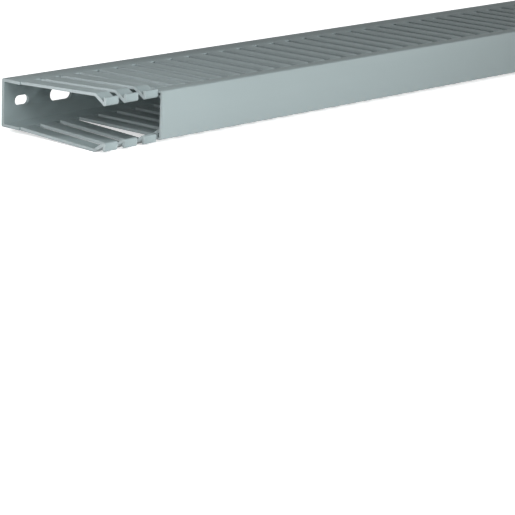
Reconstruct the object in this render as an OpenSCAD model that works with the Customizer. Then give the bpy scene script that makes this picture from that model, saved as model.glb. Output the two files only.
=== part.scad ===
// Slotted wire duct: an open PVC channel with rows of fingers, and the lid that snaps over them.
// It lies on one finger wall. X runs along it, the back of its base is the plane Y = 0, and its
// lid faces -Y. The origin is the middle of the back of the base.

/* [Duct] */
// Length that the duct and its lid are sawn to
length = 1000; // [250:12.5:2000]
// Outer width over the two finger walls
duct_w = 22.5; // [20:0.5:40]
// Depth from the back of the base to the face of the closed lid
duct_d = 66.5; // [50:0.5:90]
// Thickness of the base
base_t = 1.5; // [1:0.1:2.5]
// Thickness of the finger walls
wall_t = 1.5; // [1:0.1:1.8]
// Radius of the outer edges along the base
edge_r = 0.8; // [0.2:0.1:1.4]
// Radius in the corners where the walls rise from the base
root_r = 0.5; // [0.2:0.1:1.5]

/* [Fingers] */
// Distance from one finger to the next
finger_pitch = 12.5; // [10:0.5:20]
// Width of the slot between two fingers
slot_w = 4.5; // [3:0.25:6.5]
// Height of the unslotted strip, from the back of the base to the foot of the slots
slot_foot = 11.6; // [6:0.1:20]
// Distance from the sawn near end to the first finger
first_finger = 1.1; // [0.2:0.1:4]
// Angle by which fingers that no lid holds spring outwards
free_splay = 2.5; // [0:0.1:4]

/* [Finger tips] */
// Angle by which each wall folds inwards at its knee
fold_angle = 35; // [25:1:45]
// Inside radius of the fold at the knee
fold_r = 0.5; // [0.2:0.1:1.5]
// How far the groove behind the lip reaches in from the outer face of the wall
groove_in = 3.5; // [3:0.1:4.5]
// Thickness of the lip that faces the lid
lip_t = 1.4; // [1:0.1:2]
// Radius of the lip's rounded front edge
lip_r = 0.9; // [0.3:0.1:1.2]
// Radius of the edges at the lip's tip
tip_r = 0.4; // [0.1:0.1:0.5]

/* [Lid] */
// How far the lid is shifted along the duct from its near end
lid_shift = 35.4; // [0:0.1:60]
// Thickness of the lid's face
lid_t = 1.2; // [0.8:0.1:2]
// Thickness of the lid's two legs
leg_t = 1.1; // [0.8:0.1:1.4]
// Width of groove left open between the knee and the free edge of the leg
reveal = 1.4; // [1:0.1:2]
// Width of the flat end of the barb on each leg
barb_edge = 0.5; // [0.2:0.1:0.8]
// Radius of the lid's outer edges
lid_r = 0.9; // [0.2:0.1:1.1]
// Clearance between the lid and the finger tips
fit_gap = 0.3; // [0.2:0.05:0.5]

/* [Base holes] */
// Distance from one base hole to the next; narrow and wide holes take turns
hole_pitch = 25; // [20:1:50]
// Distance from the near end to the middle of the first hole
first_hole = 11.25; // [8:0.25:20]
// Length of a narrow hole
narrow_hole_l = 8.5; // [6:0.5:12]
// Width of a narrow hole
narrow_hole_w = 4.5; // [3.5:0.1:5.5]
// Length of a wide hole
wide_hole_l = 14; // [10:0.5:18]
// Width of a wide hole
wide_hole_w = 6; // [5:0.1:8]

/* [Hidden] */
$fn = 48;

arc_steps = 2;     // flat steps in each rounded corner of a finger's section
past = 1;          // how far a cutting solid runs past the face that it cuts

finger_w = finger_pitch - slot_w;

// Fingers whose whole width the shifted lid leaves bare: only these spring outwards.
free_fingers = max(0, floor((lid_shift - first_finger - finger_w) / finger_pitch) + 1);

// The finger tip's section, in depth from the back of the base and in distance inwards from the
// outer face of its wall. The lid's face closes on the lip's front, and its legs pass the lip's tip.
lip_front = duct_d - lid_t - fit_gap;
lip_back = lip_front - lip_t;
tip_in = leg_t + fit_gap;

// The fold's outer slope runs from the knee to the bottom of the groove, at the lip's back. Its
// inner slope lies a wall's thickness behind it and ends level with the lip's back.
knee_d = lip_back - groove_in / tan(fold_angle);
inner_knee_d = knee_d - wall_t * tan(fold_angle / 2);
neck_in = groove_in + wall_t / cos(fold_angle);
edge_room = lip_t - fold_r * tan(fold_angle / 2);
front_r = min(lip_r, 0.9 * edge_room);

// Corners are [depth, distance inwards, radius].
tip_corners = [
    [knee_d, 0, fold_r + wall_t],
    [lip_back, groove_in, 0],
    [lip_back, tip_in, tip_r],
    [lip_front, tip_in, tip_r],
    [lip_front, neck_in, front_r],
    [lip_back, neck_in, fold_r],
    [inner_knee_d, wall_t, fold_r]
];

channel_side = concat([[0, 0, edge_r]], tip_corners, [[base_t, wall_t, root_r]]);

strip_side = [
    [0, 0, edge_r],
    [slot_foot, 0, 0],
    [slot_foot, wall_t, 0],
    [base_t, wall_t, root_r]
];

finger_side = concat([[slot_foot, 0, 0]], tip_corners, [[slot_foot, wall_t, 0]]);

// The lid's leg follows the fold's slope at the fit gap, and its barb catches the lip's back.
function slope_in(depth) = (depth - knee_d) * tan(fold_angle) - fit_gap / cos(fold_angle);
leg_end = knee_d + reveal;
catch_d = lip_back - fit_gap;
barb_d = catch_d - barb_edge;

lid_side = [
    [duct_d, 0, lid_r],
    [leg_end, 0, 0],
    [leg_end, slope_in(leg_end), 0],
    [barb_d, slope_in(barb_d), 0],
    [catch_d, slope_in(barb_d), 0],
    [catch_d, leg_t, 0],
    [duct_d - lid_t, leg_t, 0]
];

function unit(v) = v / norm(v);

// The points of one corner of an outline, rounded from one straight to the next.
function corner(before, at, after, r) =
    r == 0 ? [at] :
    let (
        to_before = unit(before - at),
        to_after = unit(after - at),
        half = acos(to_before * to_after) / 2,
        centre = at + unit(to_before + to_after) * r / sin(half),
        from_centre = at + to_before * r / tan(half) - centre,
        to_centre = at + to_after * r / tan(half) - centre,
        sweep = 180 - 2 * half
    )
    [for (i = [0:arc_steps])
        centre + (from_centre * sin(sweep * (1 - i / arc_steps)) + to_centre * sin(sweep * i / arc_steps))
            / sin(sweep)];

function place(c) = [c.x, c.y];

function rounded(corners) =
    let (n = len(corners))
    [for (i = [0:n - 1]) each corner(
        place(corners[(i + n - 1) % n]), place(corners[i]), place(corners[(i + 1) % n]), corners[i][2])];

// The same side seen from the other wall, in the order that closes the outline.
function other_side(corners) =
    [for (i = [len(corners) - 1:-1:0]) [corners[i].x, duct_w - corners[i].y, corners[i][2]]];

// An outline in the plane of the duct's section: its back at 0, its lid to the left, its walls at top and bottom.
module outline(corners) {
    polygon([for (p = rounded(corners)) [-p.x, duct_w / 2 - p.y]]);
}

// Extrudes a section along the duct between two distances from its near end.
module along_duct(from, to) {
    translate([from - length / 2, 0, 0])
        rotate([90, 0, 90])
            linear_extrude(height = to - from)
                children();
}

function finger_at(n) = first_finger + n * finger_pitch;

// Both walls' slots at one place, from their foot out through the lips.
module slot_pair(from) {
    translate([from - length / 2, -duct_d - past, -duct_w / 2 - past])
        cube([slot_w, duct_d + past - slot_foot, duct_w + 2 * past]);
}

module slots() {
    last = ceil((length - finger_at(0) - finger_w) / finger_pitch) - 1;
    for (n = [free_fingers:last])
        slot_pair(finger_at(n) + finger_w);
}

module base_hole(at, hole_l, hole_w) {
    translate([at - length / 2, past, 0])
        rotate([90, 0, 0])
            linear_extrude(height = base_t + 2 * past) {
                square([hole_l - hole_w, hole_w], center = true);
                for (side = [-1, 1])
                    translate([side * (hole_l - hole_w) / 2, 0])
                        circle(d = hole_w);
            }
}

module base_holes() {
    last = floor((length - first_hole - wide_hole_l / 2 - base_t) / hole_pitch);
    for (n = [0:last]) {
        if (n % 2 == 0)
            base_hole(first_hole + n * hole_pitch, narrow_hole_l, narrow_hole_w);
        else
            base_hole(first_hole + n * hole_pitch, wide_hole_l, wide_hole_w);
    }
}

// One bare finger, turned outwards about the inner edge of its foot.
module free_finger() {
    foot = [-slot_foot, duct_w / 2 - wall_t];
    translate(foot)
        rotate(-free_splay)
            translate(-foot)
                outline(finger_side);
}

module free_finger_pair(n) {
    along_duct(finger_at(n), finger_at(n) + finger_w) {
        free_finger();
        mirror([0, 1]) free_finger();
    }
}

module duct_body() {
    held_from = free_fingers > 0 ? finger_at(free_fingers) : 0;
    color([0.52, 0.55, 0.56])
        difference() {
            union() {
                along_duct(held_from, length)
                    outline(concat(channel_side, other_side(channel_side)));
                if (free_fingers > 0) {
                    along_duct(0, held_from)
                        outline(concat(strip_side, other_side(strip_side)));
                    for (n = [0:free_fingers - 1])
                        free_finger_pair(n);
                }
            }
            slots();
            base_holes();
        }
}

module lid() {
    color([0.62, 0.66, 0.69])
        along_duct(lid_shift, lid_shift + length)
            outline(concat(lid_side, other_side(lid_side)));
}

duct_body();
lid();
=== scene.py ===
# %% [markdown]
# # A slotted wire duct
#
# Wire duct is the grey plastic channel that carries the wires inside a control cabinet. It is two
# PVC extrusions: a channel whose walls are punched into fingers, and a lid that snaps over the
# fingers' hooked tips. The exact solids come from the CAD frame. Here each of them gets the finish of
# extruded PVC, its sawn and punched edges lose their knife-sharp corners, and the pair is set on a
# white studio floor.

# %% Load the fixed frame
import math

import bpy
from mathutils import Matrix, Vector


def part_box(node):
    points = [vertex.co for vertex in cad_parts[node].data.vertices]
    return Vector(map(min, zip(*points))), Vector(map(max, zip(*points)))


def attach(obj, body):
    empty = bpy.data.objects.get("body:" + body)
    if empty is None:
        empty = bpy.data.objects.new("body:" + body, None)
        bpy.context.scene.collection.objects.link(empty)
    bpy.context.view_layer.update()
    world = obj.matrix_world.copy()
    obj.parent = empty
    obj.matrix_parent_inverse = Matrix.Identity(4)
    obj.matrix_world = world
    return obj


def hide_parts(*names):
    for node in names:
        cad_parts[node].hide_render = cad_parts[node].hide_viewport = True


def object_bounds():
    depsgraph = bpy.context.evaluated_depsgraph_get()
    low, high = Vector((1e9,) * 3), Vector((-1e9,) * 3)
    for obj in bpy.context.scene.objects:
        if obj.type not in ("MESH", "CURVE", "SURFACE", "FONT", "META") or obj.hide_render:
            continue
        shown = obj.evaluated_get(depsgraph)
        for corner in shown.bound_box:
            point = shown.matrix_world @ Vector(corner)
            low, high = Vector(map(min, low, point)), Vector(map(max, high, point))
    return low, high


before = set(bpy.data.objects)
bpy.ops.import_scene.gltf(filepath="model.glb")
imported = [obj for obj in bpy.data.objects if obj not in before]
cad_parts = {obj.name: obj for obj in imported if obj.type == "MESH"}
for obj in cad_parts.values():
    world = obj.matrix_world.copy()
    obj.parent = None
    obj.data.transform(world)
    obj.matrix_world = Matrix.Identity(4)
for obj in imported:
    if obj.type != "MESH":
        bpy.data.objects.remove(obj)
cad_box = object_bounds()
MM = 0.001
duct_low, duct_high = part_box("duct_body")
print("duct from", duct_low, "to", duct_high)

# %% [markdown]
# ## Camera
#
# The camera goes in first, so that every piece can be judged from the place it is seen from. It looks
# along the duct from beyond its near end, a little above it, and its long lens keeps the two finger
# rows almost parallel. Its place is measured from the foot of the near end, and it is turned by three
# angles: which way it faces, how far it looks down, and a slight roll.

# %% Camera
SENSOR = 36.0
LENS = 164.5
HEADING = math.radians(130.39)
LOOK_DOWN = math.radians(14.81)
ROLL = math.radians(2.37)
WALL_HALF = 11.25 * MM
CAMERA_FROM_NEAR_END = Vector((-0.7234, -0.7719, 0.2212 - WALL_HALF))


def camera_axes(heading, look_down, roll):
    """The camera's right, up and backward directions, as the columns of its rotation."""
    forward = Vector((
        math.sin(heading) * math.cos(look_down),
        -math.cos(heading) * math.cos(look_down),
        -math.sin(look_down),
    ))
    level = Vector((forward.y, -forward.x, 0)).normalized()
    upright = level.cross(forward)
    right = math.cos(roll) * level + math.sin(roll) * upright
    up = math.cos(roll) * upright - math.sin(roll) * level
    return Matrix((right, up, -forward)).transposed()


bpy.ops.object.camera_add(location=Vector((duct_low.x, 0, 0)) + CAMERA_FROM_NEAR_END)
camera = bpy.context.object
camera.name = "camera"
camera.rotation_euler = camera_axes(HEADING, LOOK_DOWN, ROLL).to_euler()
camera.data.lens = LENS
camera.data.sensor_width = SENSOR
camera.data.clip_start = 0.05
camera.data.clip_end = 20
bpy.context.scene.camera = camera

# %% [markdown]
# ## Rounding the cut edges
#
# The saw and the punch leave edges that are square but never razor-sharp: they catch a thin line of
# light. The CAD solids are exact and stay untouched, so each is copied, its loose triangles are
# merged into one skin, flat neighbours are dissolved into whole faces, and a narrow bevel is put on
# every edge that is sharper than a set angle. The copy then stands in for its node.

# %% Copy a CAD node and round its edges
MERGE = 0.01 * MM
FLAT = math.radians(1)
SHARP = math.radians(38)
EDGE_ROUNDING = 0.15 * MM


def only(piece):
    """Selects one piece and nothing else, and makes it the active one."""
    bpy.ops.object.select_all(action="DESELECT")
    piece.select_set(True)
    bpy.context.view_layer.objects.active = piece


def finished_copy(node, name, edge_radius, body):
    """A copy of a CAD node with its sharp edges rounded, riding on the node's own body."""
    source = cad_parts[node]
    piece = source.copy()
    piece.data = source.data.copy()
    piece.name = name
    piece.parent = None
    bpy.context.collection.objects.link(piece)
    only(piece)
    bpy.ops.object.mode_set(mode="EDIT")
    bpy.ops.mesh.select_all(action="SELECT")
    bpy.ops.mesh.remove_doubles(threshold=MERGE)
    bpy.ops.mesh.dissolve_limited(angle_limit=FLAT)
    bpy.ops.object.mode_set(mode="OBJECT")
    bevel = piece.modifiers.new("rounded edges", "BEVEL")
    bevel.width = edge_radius
    bevel.segments = 2
    bevel.limit_method = "ANGLE"
    bevel.angle_limit = SHARP
    bevel.use_clamp_overlap = False
    bevel.harden_normals = False
    bpy.ops.object.modifier_apply(modifier=bevel.name)
    bpy.ops.object.shade_smooth_by_angle(angle=SHARP)
    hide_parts(node)
    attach(piece, body)
    print(name, len(piece.data.polygons), "faces")
    return piece


duct = finished_copy("duct_body", "finger_channel", EDGE_ROUNDING, "duct")
lid = finished_copy("lid", "snap_lid", EDGE_ROUNDING, "lid")

# %% [markdown]
# ## Writing shader maths as maths
#
# A node tree is easier to read when it is written the way it is thought: `1 - mask * 0.3`, not three
# Math nodes and five links. `Value` wraps a number socket, and each operator on it adds its Math node.
# Every other node comes from one method that takes the node's settings and its inputs.

# %% A small shader language
class Value:
    """A number socket that can be used in ordinary arithmetic."""

    def __init__(self, shader, socket):
        self.shader = shader
        self.socket = socket

    def maths(self, operation, *others):
        """One Math node, with this number as its first input."""
        inputs = dict(enumerate((self,) + others))
        return self.shader.value("ShaderNodeMath", {"operation": operation}, inputs)

    def __add__(self, other):
        return self.maths("ADD", other)

    __radd__ = __add__

    def __mul__(self, other):
        return self.maths("MULTIPLY", other)

    __rmul__ = __mul__

    def __sub__(self, other):
        return self.maths("SUBTRACT", other)

    def __rsub__(self, other):
        return self.maths("MULTIPLY_ADD", -1.0, other)

    def __abs__(self):
        return self.maths("ABSOLUTE")

    def wrap(self, length):
        """The remainder in steps of a length, from 0 to that length."""
        return self.maths("FLOORED_MODULO", length)

    def step(self, low, high):
        """A smooth rise from 0 at low to 1 at high."""
        return self.shader.value(
            "ShaderNodeMapRange", {"interpolation_type": "SMOOTHSTEP"}, {0: self, 1: low, 2: high})


class Shader:
    """The node tree of one material or world, written one node at a time."""

    def __init__(self, painted):
        painted.use_nodes = True
        self.tree = painted.node_tree
        self.tree.nodes.clear()

    def node(self, kind, settings=None, inputs=None):
        """A new node, with its settings and with each input linked or filled in."""
        made = self.tree.nodes.new(kind)
        for key, setting in (settings or {}).items():
            setattr(made, key, setting)
        for key, given in (inputs or {}).items():
            if isinstance(given, Value):
                given = given.socket
            if isinstance(given, bpy.types.NodeSocket):
                self.tree.links.new(given, made.inputs[key])
            else:
                made.inputs[key].default_value = given
        return made

    def value(self, kind, settings=None, inputs=None, output=0):
        """A new node's output, ready for arithmetic."""
        return Value(self, self.node(kind, settings, inputs).outputs[output])

    def noise(self, place, scale, detail=2.0, roughness=0.5):
        """Noise at a place, stretched by a different number of grains to the metre on each axis."""
        fitted = self.node("ShaderNodeMapping", None, {"Vector": place, "Scale": scale})
        return self.value("ShaderNodeTexNoise", None, {
            "Vector": fitted.outputs[0], "Scale": 1.0, "Detail": detail, "Roughness": roughness})

    def mix(self, amount, one, other):
        """A colour between one and the other."""
        mixed = self.node("ShaderNodeMix", {"data_type": "RGBA"}, {0: amount, 6: one, 7: other})
        return mixed.outputs[2]


# %% [markdown]
# ## Extruded PVC
#
# Hard grey PVC comes out of its die with a satin skin: very fine lines run the whole length where the
# die touched it, and under a soft light they blur the shine along the duct. Where the profile has been
# sawn across or a finger has been punched free, that skin is gone and the stress turns the plastic
# paler. Those faces all look along the duct, so the surface's own direction tells them apart. A thin
# pale rim follows each finger's edge, where the punch bruised it.

# %% Materials
FIRST_FINGER = 1.1 * MM
FINGER_PITCH = 12.5 * MM
FINGER_WIDTH = 8.0 * MM
SLOT_FOOT = 11.6 * MM


def colour(red, green, blue):
    """An opaque colour, as a node's socket takes it."""
    return (red, green, blue, 1.0)


def shade(tint, factor):
    """A colour that is darker or lighter than a tint by a factor."""
    return colour(*[part * factor for part in tint])


def pvc(name, skin, cut, rim_strength):
    """Extruded PVC: satin skin with die lines, paler cut faces and a bruised rim along the fingers."""
    material = bpy.data.materials.new(name)
    shader = Shader(material)
    place = shader.node("ShaderNodeTexCoord")
    axes = shader.node("ShaderNodeSeparateXYZ", None, {0: place.outputs["Object"]})
    facing = shader.node("ShaderNodeSeparateXYZ", None, {0: place.outputs["Normal"]})
    along = Value(shader, axes.outputs[0])
    depth = -1.0 * Value(shader, axes.outputs[1])
    here = place.outputs["Object"]

    cut_face = abs(Value(shader, facing.outputs[0])).step(0.55, 0.9)
    in_pitch = (along - (duct_low.x + FIRST_FINGER)).wrap(FINGER_PITCH)
    to_edge = abs(in_pitch - FINGER_WIDTH / 2) - FINGER_WIDTH / 2
    rim = (1 - abs(to_edge).step(0.1 * MM, 0.7 * MM)) * depth.step(SLOT_FOOT - 1.0 * MM, SLOT_FOOT)

    die_lines = shader.noise(here, (1.2, 900.0, 900.0), detail=3.0)
    broad_lines = shader.noise(here, (0.6, 160.0, 160.0))
    clouding = shader.noise(here, (22.0, 40.0, 40.0), detail=3.0)
    peel = shader.noise(here, (1400.0, 1400.0, 1400.0))
    shear = shader.noise(here, (300.0, 2600.0, 500.0), detail=3.0)

    tone = (clouding - 0.5) * 0.16 + (broad_lines - 0.5) * 0.10 + (die_lines - 0.5) * 0.05 + 0.5
    skin_colour = shader.mix(tone, shade(skin, 0.88), shade(skin, 1.12))
    rimmed = shader.mix(rim * rim_strength, skin_colour, colour(*cut))
    cut_tone = (shear - 0.5) * 0.5 + 0.5
    cut_colour = shader.mix(cut_tone, shade(cut, 0.9), shade(cut, 1.1))
    base = shader.mix(cut_face, rimmed, cut_colour)

    skin_roughness = 0.44 + (die_lines - 0.5) * 0.10 + (clouding - 0.5) * 0.12
    roughness = skin_roughness * (1 - cut_face) + cut_face * 0.62
    skin_height = die_lines * 0.006 + broad_lines * 0.010 + peel * 0.004
    height = (skin_height * (1 - cut_face) + shear * cut_face * 0.035) * MM
    bump = shader.node("ShaderNodeBump", None, {"Strength": 1.0, "Distance": 1.0, "Height": height})

    surface = shader.node("ShaderNodeBsdfPrincipled", None, {
        "Base Color": base, "Roughness": roughness, "Normal": bump.outputs[0],
        "IOR": 1.53, "Specular IOR Level": 0.5})
    shader.node("ShaderNodeOutputMaterial", None, {"Surface": surface.outputs[0]})
    return material


duct_pvc = pvc("duct_pvc", skin=(0.250, 0.305, 0.312), cut=(0.40, 0.46, 0.47), rim_strength=0.35)
lid_pvc = pvc("lid_pvc", skin=(0.300, 0.360, 0.366), cut=(0.42, 0.48, 0.49), rim_strength=0.0)


def dress(piece, material):
    """Gives a piece its one material."""
    piece.data.materials.clear()
    piece.data.materials.append(material)


dress(duct, duct_pvc)
dress(lid, lid_pvc)

# %% [markdown]
# ## Studio
#
# The floor is a wide white sheet that the duct lies on. The sheet and the world behind it glow for the
# eye and, more weakly, in reflections, so the background stays white without lighting the object. A
# tenth of the world's white does light it, so that no side is black. Where the duct stands over the
# sheet the glow is shaded, because a glowing surface shows no shadow of its own.
#
# The main light comes from the front right, low enough to reach the lid's face more than the upper
# finger wall, and it fades along the duct. A row of the same lamps carries on where it ends and lights
# the rest of the duct and the lid's slide. Three small lamps stand round the open end. They light the
# sawn and punched faces, which all look that way, and the first of the inside, while the far slots stay
# dark. A high and a low lamp light the back.

# %% Floor and world
FLOOR_SIZE = 12.0
PAPER = 0.8
GLOW_TO_EYE = 0.95
GLOW_IN_SHINE = 0.5
SKY_IN_SHINE = 0.3
SKY_LIGHT = 0.10
SHADOW = 0.45
SHADOW_REACH = 20 * MM


def glow(shader, to_eye, in_shine):
    """A strength that only camera rays and mirrored rays meet."""
    path = shader.node("ShaderNodeLightPath")
    eye = Value(shader, path.outputs["Is Camera Ray"])
    shine = Value(shader, path.outputs["Is Glossy Ray"])
    return eye * to_eye + shine * in_shine


bpy.ops.object.select_all(action="DESELECT")
bpy.ops.mesh.primitive_plane_add(size=FLOOR_SIZE, location=(0, 0, cad_box[0][2]))
floor = bpy.context.object
floor.name = "floor"
white_paper = bpy.data.materials.new("white_paper")
paper = Shader(white_paper)
matt = paper.node("ShaderNodeBsdfDiffuse", None, {"Color": colour(PAPER, PAPER, PAPER)})
open_sky = paper.value("ShaderNodeAmbientOcclusion", {"samples": 8}, {"Distance": SHADOW_REACH}, "AO")
shaded = 1 - (1 - open_sky.step(0.05, 0.45)) * SHADOW
paper_glow = glow(paper, shaded * GLOW_TO_EYE, GLOW_IN_SHINE)
bright = paper.node("ShaderNodeEmission", None, {"Strength": paper_glow})
sheet = paper.node("ShaderNodeAddShader", None, {0: matt.outputs[0], 1: bright.outputs[0]})
paper.node("ShaderNodeOutputMaterial", None, {"Surface": sheet.outputs[0]})
floor.data.materials.append(white_paper)

studio = bpy.data.worlds.new("studio")
bpy.context.scene.world = studio
sky = Shader(studio)
sky_strength = glow(sky, 1.0 - SKY_LIGHT, SKY_IN_SHINE - SKY_LIGHT) + SKY_LIGHT
backdrop = sky.node("ShaderNodeBackground", None, {"Color": colour(1, 1, 1), "Strength": sky_strength})
sky.node("ShaderNodeOutputWorld", None, {"Surface": backdrop.outputs[0]})

# %% Lamps
BEAM_FROM = Vector((1.2, -1.2, 0.48))
BEAM_ANGLE = math.radians(22)
BEAM_POWER = 141.0
BEAM_SOFTNESS = 0.15
FIRST_SIDE_BEAM = 0.80
SIDE_BEAM_STEP = 0.45
SIDE_BEAMS = 3

near_end = Vector((duct_low.x, duct_low.y / 2, 0))


def aim(lamp, target):
    """Turns a lamp towards a place."""
    lamp.rotation_euler = (target - lamp.location).to_track_quat("-Z", "Y").to_euler()


def softbox(name, offset, size, power):
    """A square area lamp at an offset from the near end, which it faces."""
    bpy.ops.object.light_add(type="AREA", location=near_end + Vector(offset))
    lamp = bpy.context.object
    lamp.name = name
    lamp.data.shape = "SQUARE"
    lamp.data.size = size
    lamp.data.energy = power
    aim(lamp, near_end)
    return lamp


def beam(name, distance):
    """A soft spot from the front right on a place at a distance from the near end. It leaves no shine."""
    place = near_end + Vector((distance, 0, 0))
    bpy.ops.object.light_add(type="SPOT", location=place + BEAM_FROM)
    lamp = bpy.context.object
    lamp.name = name
    lamp.data.spot_size = BEAM_ANGLE
    lamp.data.spot_blend = 1.0
    lamp.data.shadow_soft_size = BEAM_SOFTNESS
    lamp.data.energy = BEAM_POWER
    lamp.visible_glossy = False
    aim(lamp, place)


softbox("front_right_fill", (2.0, -2.0, 0.8), 0.5, 9.0)
softbox("back_fill", (0.3, 1.6, 0.7), 1.0, 6.0)
softbox("back_low", (0.5, 1.5, 0.06), 0.1, 18.0).visible_glossy = False
softbox("end_front", (-0.10, -0.20, 0.12), 0.10, 0.18)
softbox("end_upper", (-0.10, -0.08, 0.12), 0.06, 0.08)
softbox("end_low", (-0.09, 0.00, 0.035), 0.04, 0.04)

beam("front_right_beam", 0.0)
for n in range(SIDE_BEAMS):
    beam(f"side_beam_{n + 1}", FIRST_SIDE_BEAM + SIDE_BEAM_STEP * n)

# %% View transform
bpy.context.scene.view_settings.view_transform = "Standard"
